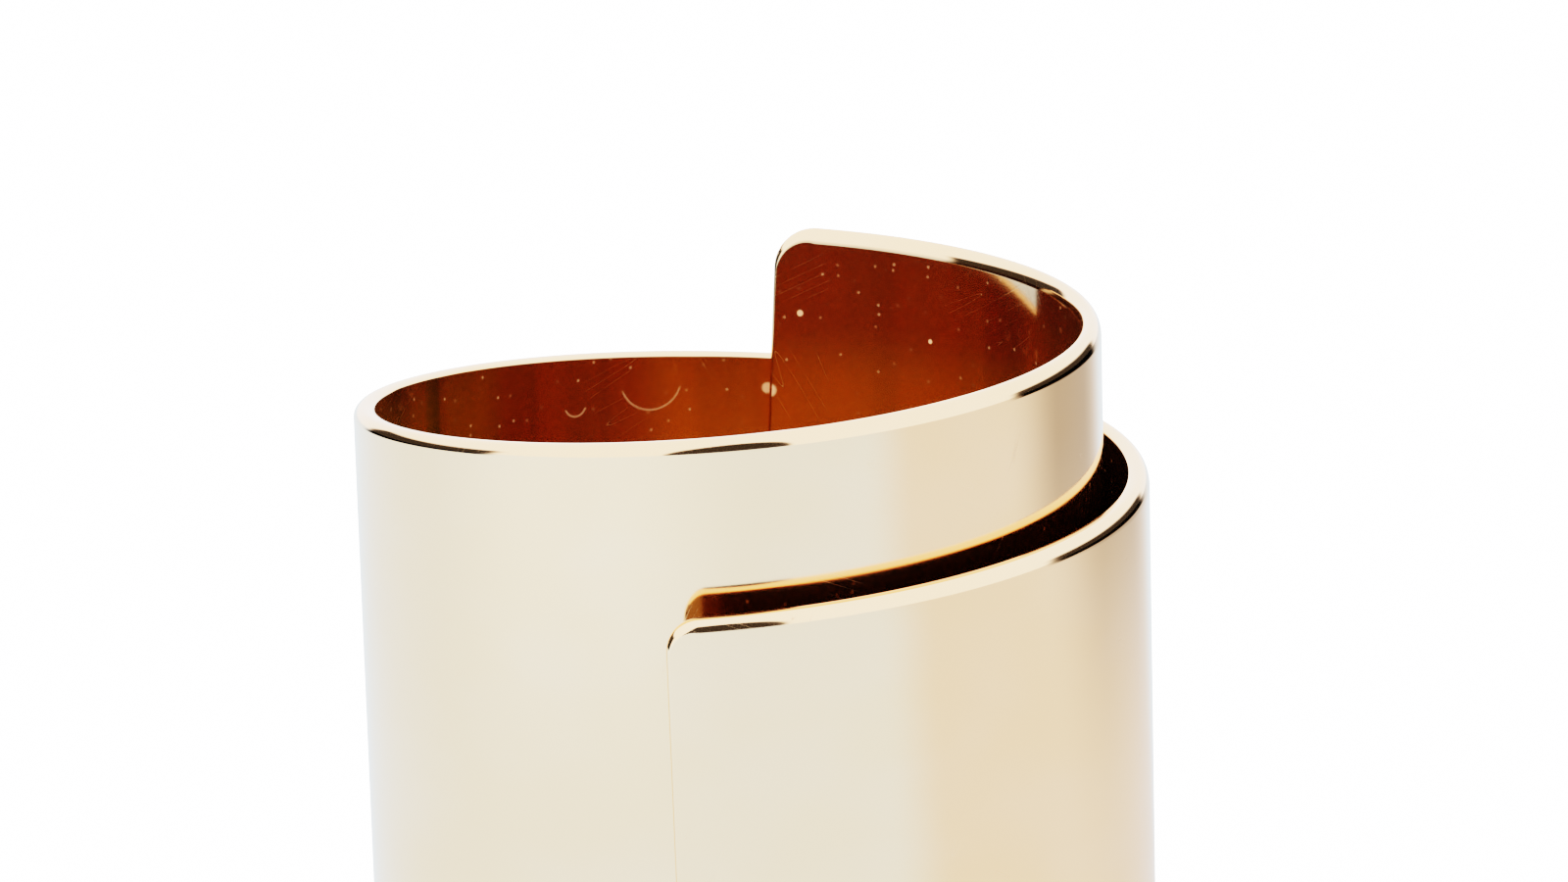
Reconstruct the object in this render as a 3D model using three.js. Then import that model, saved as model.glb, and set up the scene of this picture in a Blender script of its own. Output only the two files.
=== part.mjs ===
// A wide wrap ring: one strip of polished sheet, with rounded corners and edges,
// wound one and a half turns about the finger so that its tail lies outside its head.
// Millimetres, +Z up. The finger hole stands upright and the ring rests on its flat foot.

import * as THREE from 'three';
import { mergeVertices } from 'three/addons/utils/BufferGeometryUtils.js';

// Sheet
const THICKNESS = 0.55;
const TALL_HEIGHT = 22;         // at the head, the end of the strip that touches the finger
const TOP_SLOPE = 0.064;        // the top edge falls by this much for each mm along the strip
const HEAD_LEAN = 0.064;        // the head is cut square to the sloping top edge
const TAIL_LEAN = 0.0105;       // the tail is cut nearly upright
const HEAD_CORNER_RADIUS = 1.1;
const TAIL_CORNER_RADIUS = 0.8;
const TOP_EDGE_RADIUS = 0.22;   // the top edge and both ends are rounded over
const FOOT_EDGE_RADIUS = 0.1;   // the foot keeps a flat between its two roundings

// Winding, clockwise from above, in degrees from the back of the ring (+Y)
const HEAD_ANGLE = -1.5;        // head's foot corner
const TAIL_ANGLE = 549;         // tail's top corner
const HALF_TURN_RADII = [8.49, 9.08, 9.52, 10.78]; // middle of the sheet, from angle 0 on

// Mesh
const CORNER_STEPS = 6;
const EDGE_STEPS = 3;
const STRAIGHT_COLUMNS = 180;
const ROWS = 3;
const COLUMNS = STRAIGHT_COLUMNS + 2 * CORNER_STEPS;
const LAYERS = 2 * EDGE_STEPS + 1;

const { lerp, clamp, degToRad } = THREE.MathUtils;

/** Radius after some half turns: the cubic through the radii that are given for whole ones. */
function radiusAfter(halfTurns) {
  return HALF_TURN_RADII.reduce((sum, radius, i) => {
    const others = HALF_TURN_RADII.map((_, j) => j).filter((j) => j !== i);
    return sum + others.reduce((share, j) => (share * (halfTurns - j)) / (i - j), radius);
  }, 0);
}

/** Middle line of the wound sheet, seen from above. */
class WindingCurve extends THREE.Curve {
  getPoint(t, target = new THREE.Vector3()) {
    const degrees = lerp(HEAD_ANGLE, TAIL_ANGLE, t);
    const radius = radiusAfter(degrees / 180);
    const angle = degToRad(degrees);
    return target.set(radius * Math.sin(angle), radius * Math.cos(angle), 0);
  }
}

const winding = new WindingCurve();
winding.arcLengthDivisions = 4000;
const stripLength = winding.getLength();

// The flat strip is the hull of four corner discs. Each is a centre, x along the strip and
// y up, with the disc's radius as z.
const headRadius = HEAD_CORNER_RADIUS;
const tailRadius = TAIL_CORNER_RADIUS;
const headRise = TALL_HEIGHT - 2 * headRadius;
const headFoot = new THREE.Vector3(headRadius, headRadius, headRadius);
const headTop = new THREE.Vector3(HEAD_LEAN * headRise, headRise, 0).add(headFoot);

const topAngle = Math.atan(TOP_SLOPE);
const tailX = stripLength - tailRadius;
const topFall = TOP_SLOPE * (tailX - headTop.x) - (headRadius - tailRadius) / Math.cos(topAngle);
const tailTop = new THREE.Vector3(tailX, headTop.y - topFall, tailRadius);
const tailRise = tailTop.y - tailRadius;
const tailFoot = new THREE.Vector3(tailX - TAIL_LEAN * tailRise, tailRadius, tailRadius);

// Directions that the strip's edges face, turning from the head over each long side to the tail
const headFacing = Math.PI - Math.atan(HEAD_LEAN);
const tailFacing = -Math.atan(TAIL_LEAN);
const topSide = {
  from: headTop,
  to: tailTop,
  facing: [headFacing, Math.PI / 2 - topAngle, tailFacing],
  edgeRadius: TOP_EDGE_RADIUS,
};
const footSide = {
  from: headFoot,
  to: tailFoot,
  facing: [headFacing - 2 * Math.PI, -Math.PI / 2, tailFacing],
  edgeRadius: FOOT_EDGE_RADIUS,
};

/** Point of the strip in the flat: on one long side, at a column and a layer of its rounded edge. */
function sidePoint({ from, to, facing, edgeRadius }, column, layer) {
  const outer = layer > LAYERS / 2;
  const turn = (Math.PI / 2) * ((outer ? LAYERS - layer : layer) / EDGE_STEPS);
  const inset = edgeRadius * (1 - Math.sin(turn));
  const depth = THICKNESS / 2 - edgeRadius * (1 - Math.cos(turn));

  const roundHead = clamp(column / CORNER_STEPS, 0, 1);
  const roundTail = clamp((column - CORNER_STEPS - STRAIGHT_COLUMNS) / CORNER_STEPS, 0, 1);
  const angle = lerp(lerp(facing[0], facing[1], roundHead), facing[2], roundTail);
  const disc = from.clone().lerp(to, clamp((column - CORNER_STEPS) / STRAIGHT_COLUMNS, 0, 1));
  const reach = disc.z - inset;
  return new THREE.Vector3(
    disc.x + reach * Math.cos(angle),
    disc.y + reach * Math.sin(angle),
    outer ? depth : -depth,
  );
}

/** Rolls a point of the flat strip (along, up, outwards) onto the winding. */
function rollUp({ x: along, y: up, z: outwards }) {
  const share = clamp(along / stripLength, 0, 1);
  const tangent = winding.getTangentAt(share);
  const outward = new THREE.Vector3(-tangent.y, tangent.x, 0);
  return winding.getPointAt(share).addScaledVector(outward, outwards).setZ(up);
}

/** A box grid (along, outwards, up) whose vertices are moved onto the rolled strip. */
function rolledStrip() {
  const grid = new THREE.BoxGeometry(1, 1, 1, COLUMNS, LAYERS, ROWS);
  const position = grid.getAttribute('position');
  for (let i = 0; i < position.count; i += 1) {
    const column = Math.round((position.getX(i) + 0.5) * COLUMNS);
    const layer = Math.round((position.getY(i) + 0.5) * LAYERS);
    const height = position.getZ(i) + 0.5;
    const foot = sidePoint(footSide, column, layer);
    const flat = foot.lerp(sidePoint(topSide, column, layer), height);
    position.setXYZ(i, ...rollUp(flat).toArray());
  }
  grid.deleteAttribute('uv');
  grid.deleteAttribute('normal');
  const strip = mergeVertices(grid, 1e-4);
  strip.computeVertexNormals();
  return strip;
}

/** Rose gold plate with a mirror polish. */
function roseGold() {
  return new THREE.MeshStandardMaterial({ color: 0xe6b48c, roughness: 0.12, metalness: 1 });
}

function wrappedBand() {
  const geometry = rolledStrip();
  geometry.computeBoundingBox();
  const { min, max } = geometry.boundingBox;
  const band = new THREE.Mesh(geometry, roseGold());
  band.name = 'wrapped_band';
  band.position.set(-(min.x + max.x) / 2, -(min.y + max.y) / 2, -min.z);
  return band;
}

const ring = new THREE.Group();
ring.name = 'wrap_ring';
ring.add(wrappedBand());

export default ring;
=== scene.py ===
# %% [markdown]
# # A wide wrap ring in polished rose gold
#
# The ring is one strip of thin metal sheet. Its corners are rounded, its edges are
# smoothed over, and it is wound about a finger one and a half times, like a spring that
# is pulled down a little at each turn. The tall end, the head, touches the finger. The
# low end, the tail, lies outside the first turn and stands a little away from it.
#
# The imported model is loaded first. It gives the size and the place of the ring, and the
# piece made here is fitted to it.

# %% Load the frame
import math

import bpy
import numpy as np
from mathutils import Euler, Matrix, Vector


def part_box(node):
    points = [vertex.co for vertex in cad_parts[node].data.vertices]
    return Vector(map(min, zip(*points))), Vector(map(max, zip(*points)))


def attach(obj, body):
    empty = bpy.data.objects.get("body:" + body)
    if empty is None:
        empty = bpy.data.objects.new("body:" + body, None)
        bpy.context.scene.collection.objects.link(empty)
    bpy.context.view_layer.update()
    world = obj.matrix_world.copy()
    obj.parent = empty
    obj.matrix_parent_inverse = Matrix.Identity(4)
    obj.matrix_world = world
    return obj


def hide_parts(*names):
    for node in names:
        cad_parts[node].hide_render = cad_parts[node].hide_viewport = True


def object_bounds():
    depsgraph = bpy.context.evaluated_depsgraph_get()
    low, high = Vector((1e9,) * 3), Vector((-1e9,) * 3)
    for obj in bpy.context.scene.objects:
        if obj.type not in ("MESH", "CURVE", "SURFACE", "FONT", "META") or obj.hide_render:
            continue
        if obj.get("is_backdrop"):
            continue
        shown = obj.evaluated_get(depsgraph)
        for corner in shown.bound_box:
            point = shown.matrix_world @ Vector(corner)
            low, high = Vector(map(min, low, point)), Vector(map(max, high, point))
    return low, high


MM = 0.001

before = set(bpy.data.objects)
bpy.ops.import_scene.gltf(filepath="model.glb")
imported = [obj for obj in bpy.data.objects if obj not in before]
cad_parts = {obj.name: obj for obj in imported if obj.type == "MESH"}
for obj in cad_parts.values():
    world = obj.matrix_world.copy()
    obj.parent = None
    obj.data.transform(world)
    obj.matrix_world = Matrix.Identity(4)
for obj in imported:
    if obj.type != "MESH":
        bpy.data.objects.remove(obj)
cad_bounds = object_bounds()
band_low, band_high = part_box("wrapped_band")
band_size = band_high - band_low
print("band measures", [round(side / MM, 2) for side in band_size], "mm")

# %% [markdown]
# ## The winding
#
# Seen from above, the middle of the sheet follows a spiral. The radius grows by more than
# the thickness of the sheet each turn, because every turn has to lie outside the one
# before. The last half turn stands open further, as sheet may when it is bent over a
# mandrel and springs back. Four radii, half a turn apart, and one cubic through them
# describe the whole winding.
#
# The spiral could be a curve object with the strip bent along it by a modifier. Here a
# fine table of places along the spiral is worked out instead, because polished metal
# shows every small kink, and a table gives exact directions for the surface normals.

# %% The spiral that the sheet follows
THICKNESS = 0.55 * MM
HALF_TURN_RADII = np.array([8.49, 9.08, 9.52, 10.78]) * MM
# Degrees from the back of the ring to its right, and on round
HEAD_ANGLE, TAIL_ANGLE = -1.5, 549
SPIRAL_STEPS = 40000

turned = np.linspace(HEAD_ANGLE, TAIL_ANGLE, SPIRAL_STEPS + 1)
cubic = np.polyfit(range(4), HALF_TURN_RADII, 3)
radii = np.polyval(cubic, turned / 180)
spiral = np.stack([np.sin(np.radians(turned)), np.cos(np.radians(turned))], 1)
spiral *= radii[:, None]
steps = np.linalg.norm(np.diff(spiral, axis=0), axis=1)
travelled = np.concatenate([[0], np.cumsum(steps)])
heading = np.gradient(spiral, travelled, axis=0)
heading /= np.linalg.norm(heading, axis=1)[:, None]
STRIP_LENGTH = travelled[-1]
print("the strip is", round(STRIP_LENGTH / MM, 2), "mm long")


def on_spiral(values, along):
    """Reads the columns of a table of the spiral at lengths along the strip."""
    return np.stack([np.interp(along, travelled, column) for column in values.T], 1)


# %% [markdown]
# ## The flat strip
#
# A goldsmith could saw the strip out flat, file the corners round, and rub the edges over
# with a burnisher. The top edge falls from the head to the tail, so the rim runs downhill
# round the finger once the strip is rolled. The foot is straight, and the ring stands on
# it.
#
# The outline is drawn as the hull of four discs, one in each corner. That gives straight
# sides with true arcs between them, and moving the outline inwards by some amount only
# makes the discs smaller. The rounded edge uses this: each layer of points through the
# thickness of the sheet is the same outline, a little further in.

# %% Corner discs and facing directions
HEIGHT = band_size.z
HEAD_CORNER = 1.1 * MM
TAIL_CORNER = 0.8 * MM
TOP_SLOPE, HEAD_LEAN, TAIL_LEAN = 0.064, 0.064, 0.0105

# Each disc is (place along the strip, place up it, radius).
head_rise = HEIGHT - 2 * HEAD_CORNER
head_foot = np.full(3, HEAD_CORNER)
head_top = head_foot + [HEAD_LEAN * head_rise, head_rise, 0]
top_angle = math.atan(TOP_SLOPE)
tail_along = STRIP_LENGTH - TAIL_CORNER
smaller_disc = (HEAD_CORNER - TAIL_CORNER) / math.cos(top_angle)
top_fall = TOP_SLOPE * (tail_along - head_top[0]) - smaller_disc
tail_top = np.array([tail_along, head_top[1] - top_fall, TAIL_CORNER])
tail_lean = TAIL_LEAN * (tail_top[1] - TAIL_CORNER)
tail_foot = np.array([tail_along - tail_lean, TAIL_CORNER, TAIL_CORNER])

# Which way the outline faces at the head's end, along the side, and at the tail's end.
head_facing = math.pi - math.atan(HEAD_LEAN)
tail_facing = -math.atan(TAIL_LEAN)
top_facing = (head_facing, math.pi / 2 - top_angle, tail_facing)
foot_facing = (head_facing - 2 * math.pi, -math.pi / 2, tail_facing)
print("the sheet is", round(HEIGHT / MM, 2), "mm tall at the head and",
      round((tail_top[1] + TAIL_CORNER) / MM, 2), "mm at the tail")

# %% [markdown]
# ## A skin of quads
#
# The skin of the strip is a box of small quads: columns along the strip, rows up it and
# layers through the sheet. A cube could be cut up with the subdivide tool, but then it
# would be hard to say which point is which. Numbered here, each point knows its column,
# layer and row, and the next steps work out its place from these three.

# %% Number the points on the skin of a box of quads
CORNER_STEPS = 16
STRAIGHT_COLUMNS = 720
EDGE_STEPS = 10
ROWS = 8
COLUMNS = STRAIGHT_COLUMNS + 2 * CORNER_STEPS
LAYERS = 2 * EDGE_STEPS


def box_skin(columns, layers, rows):
    """Lattice places on the skin of a box, and the quads between them, facing outwards."""
    lattice = np.full((columns + 1, layers + 1, rows + 1), -1)
    skin = np.ones(lattice.shape, bool)
    skin[1:-1, 1:-1, 1:-1] = False
    lattice[skin] = np.arange(skin.sum())
    quads = []
    for axis in range(3):
        for side in (0, -1):
            grid = lattice.take(side, axis=axis)
            around = [grid[:-1, :-1], grid[1:, :-1], grid[1:, 1:], grid[:-1, 1:]]
            if (side == 0) != (axis == 1):
                around.reverse()
            quads.append(np.stack(around, -1).reshape(-1, 4))
    return np.argwhere(skin), np.concatenate(quads)


lattice_places, quads = box_skin(COLUMNS, LAYERS, ROWS)
column, layer, row = lattice_places.T
print("the skin has", len(lattice_places), "points and", len(quads), "quads")

# %% [markdown]
# ## Rounded edges
#
# The top edge and both ends are rounded right over, so the rim catches a thin bright
# line with dark dashes in it. Along the foot the edges are only broken, and the flat
# between them carries the ring.
#
# Hand work seldom rounds an edge evenly. This one wasn't measured, so the heights of the
# rounding are chosen: they decide where the bright line breaks into dashes. Outside the
# rounding swings slowly, and is fuller on the right of the ring than on the left. Inside
# it is high near the head, where a burnisher would reach the free metal best, and low
# further round. Round the corner onto the head's end the inner one drops to a tenth of a
# millimetre, and so does the outer one at the tail's end.
#
# Each rounding is a quarter of an ellipse: its height runs down the face of the sheet,
# its depth into the sheet. A bevel of one width would be simpler, but it can't change
# along the edge.

# %% How high the edges are rounded
OUTER_ROUNDING, OUTER_SWING = 0.365 * MM, 0.085 * MM
OUTER_ROUNDING_TAIL = 0.10 * MM
INNER_ROUNDING_HEAD = 0.40 * MM
INNER_ROUNDING_REST = 0.12 * MM
INNER_ROUNDING_END = 0.10 * MM
FOOT_ROUNDING = 0.1 * MM
# Degrees of the winding where the outer rounding is fullest, and where the inner one falls
FULLEST_AT = 80
INNER_FADE = (75, 150)


def outer_rounding(along):
    """Height of the outer rounding along the strip: one slow swing in every turn."""
    degrees = np.interp(along, travelled, turned)
    return OUTER_ROUNDING + OUTER_SWING * np.cos(np.radians(degrees - FULLEST_AT))


def inner_rounding(along):
    """Height of the inner rounding along the strip: high near the head, then low."""
    degrees = np.interp(along, travelled, turned)
    faded = np.clip((degrees - INNER_FADE[0]) / (INNER_FADE[1] - INNER_FADE[0]), 0, 1)
    faded = faded * faded * (3 - 2 * faded)
    return INNER_ROUNDING_HEAD + (INNER_ROUNDING_REST - INNER_ROUNDING_HEAD) * faded


quarters = np.interp([0, 90, 180, 270, 360], turned, travelled)
for name, rounding in (("outer", outer_rounding), ("inner", inner_rounding)):
    print(name, "rounding at each quarter turn:", (rounding(quarters) / MM).round(2), "mm")


# %% Lay out both long sides of the strip, with their rounded edges
def long_side(start, end, facing, is_foot, column, layer):
    """Flat places (along, up, outwards) of one long side, and the directions they face."""
    side = np.sign(layer - EDGE_STEPS)
    roll = math.pi / 2 * (1 - np.abs(layer - EDGE_STEPS) / EDGE_STEPS)
    round_head = np.clip(column / CORNER_STEPS, 0, 1)
    round_tail = np.clip((column - CORNER_STEPS - STRAIGHT_COLUMNS) / CORNER_STEPS, 0, 1)
    angle = facing[0] + (facing[1] - facing[0]) * round_head
    angle = angle + (facing[2] - facing[1]) * round_tail
    share = np.clip((column - CORNER_STEPS) / STRAIGHT_COLUMNS, 0, 1)[:, None]
    disc = start + (end - start) * share

    inner = inner_rounding(disc[:, 0])
    inner = INNER_ROUNDING_END + (inner - INNER_ROUNDING_END) * round_head
    outer = outer_rounding(disc[:, 0])
    outer = outer + (OUTER_ROUNDING_TAIL - outer) * round_tail
    rounded = np.where(side < 0, inner, outer)
    deep = np.full(len(disc), THICKNESS / 2)
    if is_foot:
        on_foot = round_head * (1 - round_tail)
        rounded = rounded + (FOOT_ROUNDING - rounded) * on_foot
        deep = deep + (FOOT_ROUNDING - deep) * on_foot

    reach = disc[:, 2] - rounded * (1 - np.sin(roll))
    depth = side * (THICKNESS / 2 - deep * (1 - np.cos(roll)))
    outline = np.stack([np.cos(angle), np.sin(angle)], 1)
    place = np.column_stack([disc[:, :2] + outline * reach[:, None], depth])
    across = outline * (np.sin(roll) / rounded)[:, None]
    faces = np.column_stack([across, side * np.cos(roll) / deep])
    return place, faces / np.linalg.norm(faces, axis=1)[:, None]


foot, foot_faces = long_side(head_foot, tail_foot, foot_facing, True, column, layer)
top, top_faces = long_side(head_top, tail_top, top_facing, False, column, layer)
rise = (row / ROWS)[:, None]
flat = foot + (top - foot) * rise
faces = foot_faces + (top_faces - foot_faces) * rise
faces /= np.linalg.norm(faces, axis=1)[:, None]
print("the flat strip measures", (np.ptp(flat, axis=0) / MM).round(2), "mm")

# %% [markdown]
# ## Rolling it up
#
# Each point of the flat strip is carried onto the spiral, which bends the strip without
# stretching its middle. The simple bend tool would follow a circle only. The direction
# that each point faces is carried along as a custom normal. A mirror finish needs that:
# normals that are averaged from the quads would put faint ripples in every reflection.

# %% Roll the strip onto the spiral
along, up, outwards = flat.T
middle = on_spiral(spiral, along)
tangent = on_spiral(heading, along)
outward = np.stack([-tangent[:, 1], tangent[:, 0]], 1)
rolled = np.column_stack([middle + outward * outwards[:, None], up])
normals = np.column_stack([tangent * faces[:, :1] + outward * faces[:, 2:], faces[:, 1]])

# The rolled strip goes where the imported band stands.
low, high = rolled.min(0), rolled.max(0)
axis_place = Vector((band_low + band_high) / 2) - Vector((low + high) / 2)
axis_place.z = band_low.z - low[2]
rolled += axis_place
print("axis of the winding at", [round(part / MM, 3) for part in axis_place], "mm")

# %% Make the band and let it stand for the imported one
band_mesh = bpy.data.meshes.new("rolled_band")
band_mesh.from_pydata(rolled.tolist(), [], quads.tolist())
band_mesh.shade_smooth()
band_mesh.normals_split_custom_set_from_vertices([Vector(n) for n in normals])

strip_map = band_mesh.uv_layers.new(name="flat_strip")
corner_points = np.array([corner.vertex_index for corner in band_mesh.loops])
flat_map = np.stack([along, up], 1)[corner_points] / STRIP_LENGTH
strip_map.data.foreach_set("uv", flat_map.ravel())

band = bpy.data.objects.new("rolled_band", band_mesh)
bpy.context.scene.collection.objects.link(band)
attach(band, "root")
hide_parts("wrapped_band")
print("the band has", len(band_mesh.polygons), "faces")

# %% [markdown]
# ## Wiring materials
#
# The metal, the floor and the room are all node materials. They could be clicked together
# in the editor, but written out they can be read and changed in one place. A small helper
# keeps that short: it adds a node to one tree and links or sets its inputs in order.

# %% A helper for node trees


class Wiring:
    """Adds nodes to one node tree, and links or sets their inputs in order."""

    def __init__(self, tree):
        self.tree = tree

    def set(self, socket, value):
        """Links an input to another node's output, or gives it a plain value."""
        if isinstance(value, bpy.types.NodeSocket):
            self.tree.links.new(value, socket)
        elif value is not None:
            socket.default_value = value

    def add(self, kind, *inputs, **settings):
        """Adds a node; None leaves an input as it is."""
        node = self.tree.nodes.new(kind)
        for name, value in settings.items():
            setattr(node, name, value)
        for socket, value in zip(node.inputs, inputs):
            self.set(socket, value)
        return node

    def calc(self, operation, *values):
        """One step of arithmetic."""
        return self.add("ShaderNodeMath", *values, operation=operation).outputs[0]

    def fade(self, value, start, end, low=0.0, high=1.0):
        """Goes smoothly from low to high while the value goes from start to end."""
        levels = (value, start, end, low, high)
        return self.add("ShaderNodeMapRange", *levels, interpolation_type="SMOOTHSTEP").outputs[0]

    def tint(self, share, first, second):
        """Mixes two colours; a share of 0 gives the first one."""
        node = self.add("ShaderNodeMix", data_type="RGBA")
        node.clamp_factor = False
        for socket, value in zip([node.inputs[0], *node.inputs[6:8]], [share, first, second]):
            self.set(socket, value)
        return node.outputs[2]

    def split(self, place):
        """The three parts of a place or a colour."""
        return self.add("ShaderNodeSeparateXYZ", place).outputs

    def bearing(self, x, y):
        """Angle from the front (-Y) to the right, in radians."""
        return self.calc("ARCTAN2", x, self.calc("MULTIPLY", y, -1.0))

    def between(self, value, left, right, soft):
        """1 between two angles given in degrees, 0 elsewhere, with soft sides."""
        left, right, soft = (math.radians(angle) for angle in (left, right, soft))
        begins = self.fade(value, left - soft, left + soft)
        ends = self.fade(value, right - soft, right + soft, 1.0, 0.0)
        return self.calc("MULTIPLY", begins, ends)


# %% [markdown]
# ## Rose gold with a mirror polish
#
# The metal reflects about nine tenths of red light, half of the green and a third of the
# blue. Seen once, a cool white studio turns cream in it. Inside the tube the light
# bounces from wall to wall, loses more green and blue each time, and turns to deep orange
# and brown.
#
# No polish is perfect. Fine marks run round the band from the polishing wheel, a few hair
# scratches cross them, and the plate is a little uneven in colour and gloss. Pictures of
# such marks could be wrapped round the band. Noise does it without them, and it is laid
# out in millimetres on the flat strip's own map, so that it bends with the metal.

# %% Marks and scratches on the flat strip
# How many grains of noise there are in each millimetre along the strip and up it
WHEEL_MARKS = (0.25, 9.0)
UNEVEN_PATCHES = (0.22, 0.30)
SCRATCH_STREAKS = (0.12, 2.2)
SCRATCH_BREAKS = (0.35, 0.35)
MARKS_DETAIL = 2.0
# A scratch is the line where the streaks pass through their middle value. It shows only
# where the other noise is high.
NOISE_MIDDLE, SCRATCH_WIDTH = 0.5, 0.004
SCRATCH_SHOWS = (0.60, 0.66)
# Tilt in degrees and place in the noise of each set of scratches
STEEP_SCRATCHES, SHALLOW_SCRATCHES = (62, 3.0), (-24, 11.0)

rose_gold = bpy.data.materials.new("rose_gold_polished")
rose_gold.use_nodes = True
metal = Wiring(rose_gold.node_tree)
strip = metal.add("ShaderNodeUVMap", uv_map="flat_strip").outputs[0]
in_mm = (STRIP_LENGTH / MM,) * 3
place = metal.add("ShaderNodeVectorMath", strip, in_mm, operation="MULTIPLY").outputs[0]


def stretched_noise(place, along, up, detail=0.0):
    """Noise with so many grains for each millimetre along the strip and up it."""
    stretch = (along, up, 1.0)
    grains = metal.add("ShaderNodeVectorMath", place, stretch, operation="MULTIPLY").outputs[0]
    return metal.add("ShaderNodeTexNoise", grains, None, 1.0, detail).outputs[0]


def hair_scratches(degrees, seed):
    """A few fine lines: thin bands of long streaks, broken up by another noise."""
    turn = (0, 0, math.radians(degrees))
    tilted = metal.add("ShaderNodeMapping", place, (seed, 0, 0), turn).outputs[0]
    streaks = stretched_noise(tilted, *SCRATCH_STREAKS)
    off_middle = metal.calc("ABSOLUTE", metal.calc("SUBTRACT", streaks, NOISE_MIDDLE))
    line = metal.fade(off_middle, 0.0, SCRATCH_WIDTH, 1.0, 0.0)
    breaks = stretched_noise(tilted, *SCRATCH_BREAKS)
    return metal.calc("MULTIPLY", line, metal.fade(breaks, *SCRATCH_SHOWS))


wheel_marks = stretched_noise(place, *WHEEL_MARKS, MARKS_DETAIL)
uneven = stretched_noise(place, *UNEVEN_PATCHES, MARKS_DETAIL)
steep, shallow = hair_scratches(*STEEP_SCRATCHES), hair_scratches(*SHALLOW_SCRATCHES)
scratches = metal.calc("MAXIMUM", steep, shallow)
print("marks and scratches take", len(rose_gold.node_tree.nodes), "nodes")

# %% Colour, gloss and relief of the metal
METAL = (0.92, 0.56, 0.30, 1)
METAL_WORN = (0.93, 0.60, 0.36, 1)
MOST_WORN = 0.5
# Values of a noise between which an effect grows
COLOUR_WEARS, GLOSS_WEARS = (0.35, 0.75), (0.4, 0.7)
MOST_OF_NOISE = (0.3, 0.7)
ROUGHNESS, MARKS_SWING = 0.075, 0.012
WORN_ROUGHER, SCRATCH_ROUGHER = 0.02, 0.2
MARKS_RELIEF = 0.12
BUMP_STRENGTH, BUMP_HEIGHT = 0.25, 0.002 * MM

worn = metal.fade(uneven, *COLOUR_WEARS, 0.0, MOST_WORN)
colour = metal.tint(worn, METAL, METAL_WORN)
smoothest, roughest = ROUGHNESS - MARKS_SWING, ROUGHNESS + MARKS_SWING
gloss = metal.fade(wheel_marks, *MOST_OF_NOISE, smoothest, roughest)
gloss = metal.calc("MULTIPLY_ADD", metal.fade(uneven, *GLOSS_WEARS), WORN_ROUGHER, gloss)
gloss = metal.calc("MULTIPLY_ADD", scratches, SCRATCH_ROUGHER, gloss)
marks_relief = metal.calc("MULTIPLY", wheel_marks, MARKS_RELIEF)
relief = metal.calc("MULTIPLY_ADD", scratches, -1.0, marks_relief)
bumps = metal.add("ShaderNodeBump", BUMP_STRENGTH, BUMP_HEIGHT, 1.0, relief)

shader = rose_gold.node_tree.nodes["Principled BSDF"]
shader.inputs["Metallic"].default_value = 1.0
metal.set(shader.inputs["Base Color"], colour)
metal.set(shader.inputs["Roughness"], gloss)
metal.set(shader.inputs["Normal"], bumps.outputs[0])
print("roughness about", ROUGHNESS, "and", ROUGHNESS + SCRATCH_ROUGHER, "in a scratch")

# %% [markdown]
# ## Painted shade inside the ring
#
# With the metal alone, the inside of the tube comes out too bright. What darkens it on
# the real ring isn't known, so shade is painted onto the inner face. It is darkest near
# the rim and in one patch before the end of the first turn, and thinner further down,
# where the metal glows through. Between the two layers it is nearly black. Its colours
# and places are chosen by how the ring looks.
#
# Paint strokes could do this too. Here the painted shade is a share of plain diffuse
# colour mixed over the metal, and the height over the floor and the place along the strip
# steer it. It lies on the inner face alone, so each point of the mesh first gets a number
# that says on which side of the sheet it is: -1 inside, 1 outside.

# %% Which side of the sheet a point is on
INNER_FACE, OFF_INNER_FACE = -0.998, -0.95

sides = band_mesh.attributes.new("side_of_sheet", "FLOAT", "POINT")
sides.data.foreach_set("value", (outwards / (THICKNESS / 2)).astype(np.float32))
side_of_sheet = metal.add("ShaderNodeAttribute", attribute_name="side_of_sheet").outputs["Fac"]
inside = metal.fade(side_of_sheet, INNER_FACE, OFF_INNER_FACE, 1.0, 0.0)
print("points on the inner face:", int((outwards <= INNER_FACE * THICKNESS / 2).sum()))

# %% How dark and how dense the painted shade is
# Colours and shares of the painted shade on the inner face: darkest near the rim, thinner deep down
PAINTED_SHADE_NEAR_RIM, PAINTED_SHADE_NEAR_RIM_SHARE = (0.038, 0.009, 0.003, 1), 0.47
PAINTED_SHADE_DEEP, PAINTED_SHADE_DEEP_SHARE = (0.165, 0.062, 0.004, 1), 0.27
# Nearly black painted shade for the narrow gap between the two layers
PAINTED_SHADE_IN_GAP, PAINTED_SHADE_IN_GAP_SHARE = (0.020, 0.007, 0.004, 1), 0.78
PAINTED_SHADE_UNEVEN = (0.85, 1.15)
# Heights over the floor between which the painted shade changes
DEEP, NEAR_RIM = 17.0 * MM, 19.7 * MM
# Millimetres along the strip between which the patch begins and ends
PATCH_BEGINS, PATCH_ENDS = (48.5, 50.5), (54.0, 56.0)
# Millimetres past the first turn between which the painted shade turns nearly black, in the gap between the
# layers
GAP_BEGINS = (0.7, 1.7)

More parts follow.
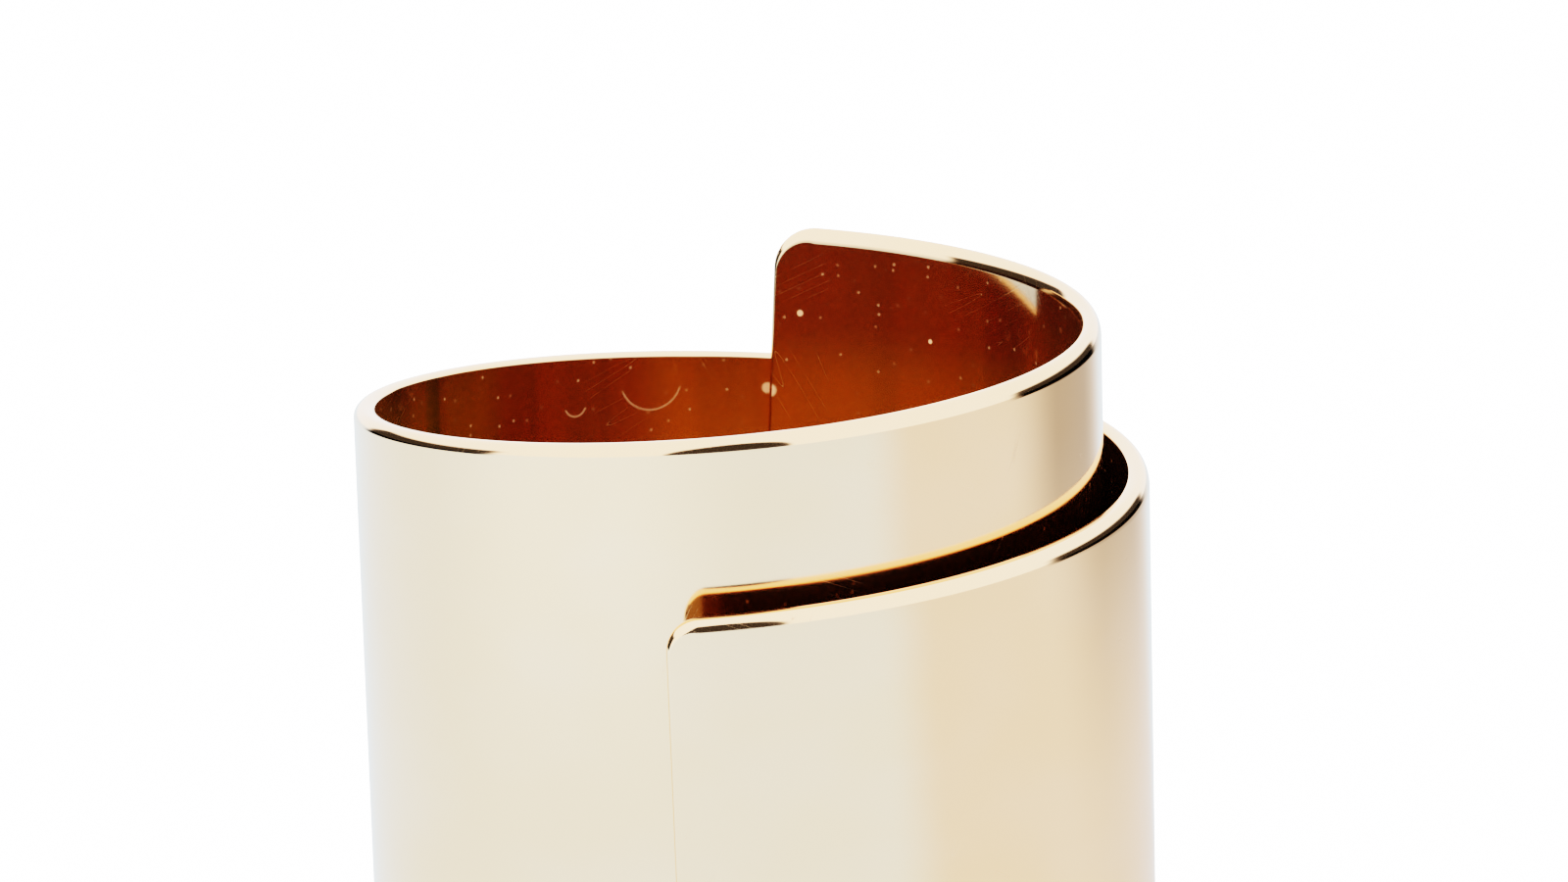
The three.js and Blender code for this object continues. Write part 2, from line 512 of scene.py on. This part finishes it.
along_strip, up_strip, _ = metal.split(place)
_, _, over_floor = metal.split(metal.add("ShaderNodeTexCoord").outputs["Object"])
patch_begins = metal.fade(along_strip, *PATCH_BEGINS)
patch_ends = metal.fade(along_strip, *PATCH_ENDS, 1.0, 0.0)
patch = metal.calc("MULTIPLY", patch_begins, patch_ends)
darkest = metal.calc("MAXIMUM", metal.fade(over_floor, DEEP, NEAR_RIM), patch)
# The painted shade darkens towards the rim and in the patch, and thins further down
painted_shade_colour = metal.tint(darkest, PAINTED_SHADE_DEEP, PAINTED_SHADE_NEAR_RIM)
painted_shade_share = metal.fade(darkest, 0.0, 1.0, PAINTED_SHADE_DEEP_SHARE, PAINTED_SHADE_NEAR_RIM_SHARE)
painted_shade_uneven = metal.fade(uneven, *MOST_OF_NOISE, *PAINTED_SHADE_UNEVEN)
painted_shade_share = metal.calc("MULTIPLY", painted_shade_share, painted_shade_uneven)

first_turn = np.interp(360, turned, travelled) / MM
# Past the first turn, between the two layers, the gap's shade is painted on as a nearly black diffuse colour
in_gap = metal.fade(along_strip, *(first_turn + past for past in GAP_BEGINS))
painted_shade_colour = metal.tint(in_gap, painted_shade_colour, PAINTED_SHADE_IN_GAP)
gap_shade_share = metal.calc("MULTIPLY", in_gap, PAINTED_SHADE_IN_GAP_SHARE)
painted_shade_share = metal.calc("MAXIMUM", painted_shade_share, gap_shade_share)
painted_shade_share = metal.calc("MULTIPLY", painted_shade_share, inside)
print("the first turn ends", round(first_turn, 2), "mm along the strip")

# %% [markdown]
# ## Dust, lint and a painted glint
#
# Fine dust lies on the inner face and catches the light. Two grains stand out, and there
# are two bits of lint. Two more spots are a painted highlight: a bright glint on the head's
# edge, drawn half on the head and half on the outer turn behind it. They could be strewn
# about as tiny bodies. But no grain is as wide as the sheet is thick, so they are drawn
# in colour on the flat strip.
#
# The fine dust is a cell pattern: every cell has one dot, and only some cells show it. A
# grain, and each half of the glint, is a round spot with a place of its own. A bit of lint
# is the lower part of a thin circle.

# %% Fine dust
DUST_CELLS = 1.9  # for each millimetre
DOT_FULL, DOT_ENDS = 0.04, 0.12  # distances from a dot's middle, in cells
CELLS_THAT_SHOW = (0.6, 1.0)
DUST_STRENGTH = 0.26

cells = metal.add("ShaderNodeTexVoronoi", place, None, DUST_CELLS, voronoi_dimensions="2D")
cell_value, _, _ = metal.split(cells.outputs["Color"])
dots = metal.fade(cells.outputs["Distance"], DOT_FULL, DOT_ENDS, 1.0, 0.0)
dust_and_glint = metal.calc("MULTIPLY", dots, metal.fade(cell_value, *CELLS_THAT_SHOW, 0.0, DUST_STRENGTH))
print("dots of dust are", round(2 * DOT_ENDS / DUST_CELLS, 3), "mm across")

# %% Grains, lint and a painted glint
# Places and sizes in millimetres: along the strip, up it, radius
# The last two spots are no dust: they are a painted highlight, one glint on the head's edge, half on the head
# and half on the outer turn behind it
GRAINS_AND_GLINT = [(1.97, 19.77, 0.11), (5.77, 19.2, 0.08), (1.10, 17.7, 0.21), (57.92, 17.55, 0.19)]
LINT = [(54.72, 17.97, 0.86), (52.50, 17.48, 0.32)]
LINT_HALF_WIDTH = 0.05
LINT_STRENGTH = 0.28
# Shares of the radius, or of the half width, within which the spot or the line is full
GRAIN_FULL, LINT_FULL = 0.5, 0.2
# Depths under the middle of the circle between which the lint ends, in shares of its radius
LINT_ENDS = (0.45, 0.25)


def distance_to(along_mm, up_mm):
    """Distance in millimetres from a place on the flat strip."""
    middle = (along_mm, up_mm, 0)
    return metal.add("ShaderNodeVectorMath", place, middle, operation="DISTANCE").outputs["Value"]


for along_mm, up_mm, radius in GRAINS_AND_GLINT:
    grain_or_glint = metal.fade(distance_to(along_mm, up_mm), radius * GRAIN_FULL, radius, 1.0, 0.0)
    dust_and_glint = metal.calc("MAXIMUM", dust_and_glint, grain_or_glint)
for along_mm, up_mm, radius in LINT:
    off_circle = metal.calc("SUBTRACT", distance_to(along_mm, up_mm), radius)
    off_circle = metal.calc("ABSOLUTE", off_circle)
    full_width = LINT_HALF_WIDTH * LINT_FULL
    fibre = metal.fade(off_circle, full_width, LINT_HALF_WIDTH, LINT_STRENGTH, 0.0)
    full, gone = (up_mm - radius * share for share in LINT_ENDS)
    fibre = metal.calc("MULTIPLY", fibre, metal.fade(up_strip, full, gone, 1.0, 0.0))
    dust_and_glint = metal.calc("MAXIMUM", dust_and_glint, fibre)
dust_and_glint = metal.calc("MULTIPLY", dust_and_glint, inside)
print(len(GRAINS_AND_GLINT), "grains and", len(LINT), "bits of lint")

# %% Lay the painted shade, the dust and the painted glint over the metal
# The dust, the lint and the painted glint share this one diffuse colour
DUST_AND_GLINT_COLOUR = (0.80, 0.41, 0.21, 1)

# The painted shade is a plain diffuse colour mixed over the metal on the inner face
painted_shade_bsdf = metal.add("ShaderNodeBsdfDiffuse", painted_shade_colour)
with_painted_shade = metal.add("ShaderNodeMixShader", painted_shade_share, shader.outputs[0], painted_shade_bsdf.outputs[0])
specks_and_glint = metal.add("ShaderNodeBsdfDiffuse", DUST_AND_GLINT_COLOUR)
with_dust_and_glint = metal.add("ShaderNodeMixShader", dust_and_glint, with_painted_shade.outputs[0], specks_and_glint.outputs[0])
metal_output = rose_gold.node_tree.nodes["Material Output"]
metal.set(metal_output.inputs["Surface"], with_dust_and_glint.outputs[0])
band_mesh.materials.append(rose_gold)
print("the whole finish takes", len(rose_gold.node_tree.nodes), "nodes")

# %% [markdown]
# ## The stage
#
# The ring stands on a plain white floor in a white studio. What polished metal mirrors
# makes up most of its look. Seen from a little above, the upright wall of the ring mirrors
# only the floor, so the floor's light is what gives the wall its bands. The real studio
# isn't known, and this one is made up to suit the ring. Cool daylight lies on the floor
# and is strongest in front on the left. On the right the light is whiter, as if a pale
# card lay there, and towards the back of the card it runs into shade. Inside the tube it
# is a little weaker.
#
# The floor isn't endless either. Far out on the left and on the right the white paper
# stops, and the dark of the room begins. The rounded edges look that far, and draw it as
# short black dashes along the rims.
#
# The floor has two faces, then. To the camera it is burnt out to white, as in a catalogue
# picture, with the ring's soft shadow left on it. To the metal it glows in the studio's
# tints. Coloured cards standing about would do the same, but they would be in the way of
# the other views.

# %% What the metal sees of the floor
DAYLIGHT_FLOOR = (1.60, 2.06, 2.42, 1)
PALE_CARD = (1.60, 1.60, 1.62, 1)
# Left end, right end and softness in degrees from the front
CARD = (46, 150, 8)
GLOW = (-80, -12, 22)
SHADE = (102, 147, 14)
# Distances from the ring's axis between which glow and shade grow, and from what to what
NEAR, FAR = 35 * MM, 90 * MM
GLOW_GROWS, SHADE_GROWS = (0.03, 0.22), (0.1, 0.6)
TUBE_WALL, LIGHT_IN_TUBE = (8 * MM, 9 * MM), 0.9

floor_material = bpy.data.materials.new("white_floor")
floor_material.use_nodes = True
floor_nodes = floor_material.node_tree.nodes
stage = Wiring(floor_material.node_tree)
floor_place = stage.add("ShaderNodeTexCoord").outputs["Object"]
floor_x, floor_y, _ = stage.split(floor_place)
distance = stage.add("ShaderNodeVectorMath", floor_place, operation="LENGTH").outputs["Value"]
floor_bearing = stage.bearing(floor_x, floor_y)

glow = stage.between(floor_bearing, *GLOW)
glow = stage.calc("MULTIPLY", glow, stage.fade(distance, NEAR, FAR, *GLOW_GROWS))
shade = stage.between(floor_bearing, *SHADE)
shade = stage.calc("MULTIPLY", shade, stage.fade(distance, NEAR, FAR, *SHADE_GROWS))
level = stage.calc("SUBTRACT", stage.calc("ADD", glow, 1.0), shade)
level = stage.calc("MULTIPLY", level, stage.fade(distance, *TUBE_WALL, LIGHT_IN_TUBE, 1.0))
floor_tint = stage.tint(stage.between(floor_bearing, *CARD), DAYLIGHT_FLOOR, PALE_CARD)
print("far out the floor's light goes from", 1 - SHADE_GROWS[1], "to", 1 + GLOW_GROWS[1])

# %% The dark past the paper
PAPER_STOPS = (115 * MM, 150 * MM)
# Dark sides of the room: left and right end, and height over the horizon, in degrees
DARK_SIDES = [(-142, -77, 20), (94, 147, 12)]
DARK_SIDES_SOFT = 4

past_paper = stage.fade(distance, *PAPER_STOPS)
for left, right, _ in DARK_SIDES:
    to_the_side = stage.between(floor_bearing, left, right, DARK_SIDES_SOFT)
    unlit = stage.calc("MULTIPLY", to_the_side, past_paper)
    level = stage.calc("MULTIPLY", level, stage.calc("SUBTRACT", 1.0, unlit))
print("the paper stops", round(PAPER_STOPS[0] / MM), "to", round(PAPER_STOPS[1] / MM), "mm out")

# %% Lay the floor
FLOOR_REACH = 1.5
FLOOR_WHITE = (5.0, 5.0, 5.0, 1)
FLOOR_GREY = (0.8, 0.8, 0.8, 1)

floor_rays = stage.add("ShaderNodeLightPath").outputs
paint = stage.tint(floor_rays["Is Camera Ray"], FLOOR_GREY, FLOOR_WHITE)
painted = stage.add("ShaderNodeBsdfDiffuse", paint).outputs[0]
glowing = stage.add("ShaderNodeEmission", floor_tint, level).outputs[0]
both = stage.add("ShaderNodeMixShader", floor_rays["Is Glossy Ray"], painted, glowing)
floor_nodes.remove(floor_nodes["Principled BSDF"])
stage.set(floor_nodes["Material Output"].inputs["Surface"], both.outputs[0])

floor_mesh = bpy.data.meshes.new("floor")
corners = [(-1, -1), (1, -1), (1, 1), (-1, 1)]
floor_corners = [(x * FLOOR_REACH, y * FLOOR_REACH, 0) for x, y in corners]
floor_mesh.from_pydata(floor_corners, [], [(0, 1, 2, 3)])
floor_mesh.materials.append(floor_material)
floor = bpy.data.objects.new("floor", floor_mesh)
floor.location = (axis_place.x, axis_place.y, band_low.z)
bpy.context.scene.collection.objects.link(floor)
floor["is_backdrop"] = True
print("the floor is", 2 * FLOOR_REACH, "m wide")

# %% [markdown]
# ## The room
#
# The room is made up as the floor is. It is bright all round, but for three things. Low
# down it is dark on the left and on the right, where the paper stops. In front stands one
# tall dark shape, such as a camera on its stand and whoever works it would make. From the
# front it is mostly the rounded edges that look at the room.
#
# Walls and a body could be built, and would get in the way of the other views. Painted
# into the sky they don't. They are there for the metal alone: to the camera the room is
# white, and the floor gets an even light.

# %% Dark shapes in the room
# Bearing, half width and height of the shape in front, in degrees
SHAPE_AT, SHAPE_HALF_WIDTH, SHAPE_HEIGHT = -2, 19, 44
SHAPE_SOFT = (0.85, 1.1)

world = bpy.data.worlds.new("studio")
bpy.context.scene.world = world
world.use_nodes = True
room = Wiring(world.node_tree)
ray_x, ray_y, ray_z = room.split(room.add("ShaderNodeTexCoord").outputs["Generated"])
ray_bearing = room.bearing(ray_x, ray_y)
ray_height = room.calc("ARCSINE", ray_z)

across = room.calc("SUBTRACT", ray_bearing, math.radians(SHAPE_AT))
across = room.calc("DIVIDE", across, math.radians(SHAPE_HALF_WIDTH))
upwards = room.calc("DIVIDE", ray_height, math.radians(SHAPE_HEIGHT))
oval = room.calc("ADD", room.calc("POWER", across, 2.0), room.calc("POWER", upwards, 2.0))
dark = room.fade(oval, *SHAPE_SOFT, 1.0, 0.0)
for left, right, rises_to in DARK_SIDES:
    fades = (rises_to - DARK_SIDES_SOFT, rises_to + DARK_SIDES_SOFT)
    low_down = room.fade(ray_height, *(math.radians(angle) for angle in fades), 1.0, 0.0)
    to_the_side = room.between(ray_bearing, left, right, DARK_SIDES_SOFT)
    dark = room.calc("MAXIMUM", dark, room.calc("MULTIPLY", to_the_side, low_down))
print("dark shapes in the room:", 1 + len(DARK_SIDES))

# %% Light of the room
ROOM_BRIGHT = 2.7
ROOM_DARK = 0.06
ROOM_TO_CAMERA = 14.0

room_rays = room.add("ShaderNodeLightPath").outputs
dark = room.calc("MULTIPLY", dark, room_rays["Is Glossy Ray"])
strength = room.fade(dark, 0.0, 1.0, ROOM_BRIGHT, ROOM_DARK)
strength = room.calc("MULTIPLY_ADD", room_rays["Is Camera Ray"], ROOM_TO_CAMERA, strength)
background = world.node_tree.nodes["Background"]
background.inputs["Color"].default_value = (1, 1, 1, 1)
room.set(background.inputs["Strength"], strength)
print("the room's light is", ROOM_BRIGHT, "and", ROOM_DARK, "in the dark shapes")

# %% [markdown]
# ## The camera
#
# A long lens looks down on the ring at a shallow angle, close enough that the head and
# the rims fill the picture and the foot is out of it. The camera could be told to track
# the ring with a constraint. Here its place is worked out from the point it aims at, so
# that it can be leaned over by a degree or two as well.

# %% Camera
SENSOR = 36
LENS = 137.77
DISTANCE = 150 * MM
PITCH = math.radians(12.673)
ROLL = math.radians(-1.578)
AIM_RIGHT = 1.18 * MM
AIM_BELOW_TOP = 3.835 * MM

camera_data = bpy.data.cameras.new("camera")
camera_data.sensor_width = SENSOR
camera_data.lens = LENS
camera_data.clip_start = 0.01
camera_data.clip_end = 10
camera = bpy.data.objects.new("camera", camera_data)
bpy.context.scene.collection.objects.link(camera)
bpy.context.scene.camera = camera

look_down = Euler((math.pi / 2 - PITCH, 0, 0)).to_matrix()
aim = Vector((axis_place.x + AIM_RIGHT, axis_place.y, band_high.z - AIM_BELOW_TOP))
eye = aim + look_down @ Vector((0, 0, DISTANCE))
leaning = (look_down @ Matrix.Rotation(ROLL, 3, "Z")).to_4x4()
camera.matrix_world = Matrix.Translation(eye) @ leaning
print("the camera is at", [round(part / MM, 1) for part in eye], "mm")

# %% [markdown]
# ## Picture settings and a last measure
#
# A film-like tone curve with high contrast keeps the bright bands of the metal soft and
# the dark dashes dark. Light may bounce ten times, because in the tube it goes from wall
# to wall many times before it comes out.
#
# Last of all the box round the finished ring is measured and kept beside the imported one,
# so that the two can be compared.

# %% Picture settings
BOUNCES = 10

scene = bpy.context.scene
scene.view_settings.view_transform = "Filmic"
scene.view_settings.look = "High Contrast"
scene.cycles.max_bounces = BOUNCES
scene.cycles.glossy_bounces = BOUNCES
print("light bounces", BOUNCES, "times at most")

# %% Measure and finish
sizes = {"cad": [list(corner) for corner in cad_bounds], "visual": [list(corner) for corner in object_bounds()]}
for name, box in sizes.items():
    print(name, "box in mm:", [[round(part / MM, 2) for part in corner] for corner in box])
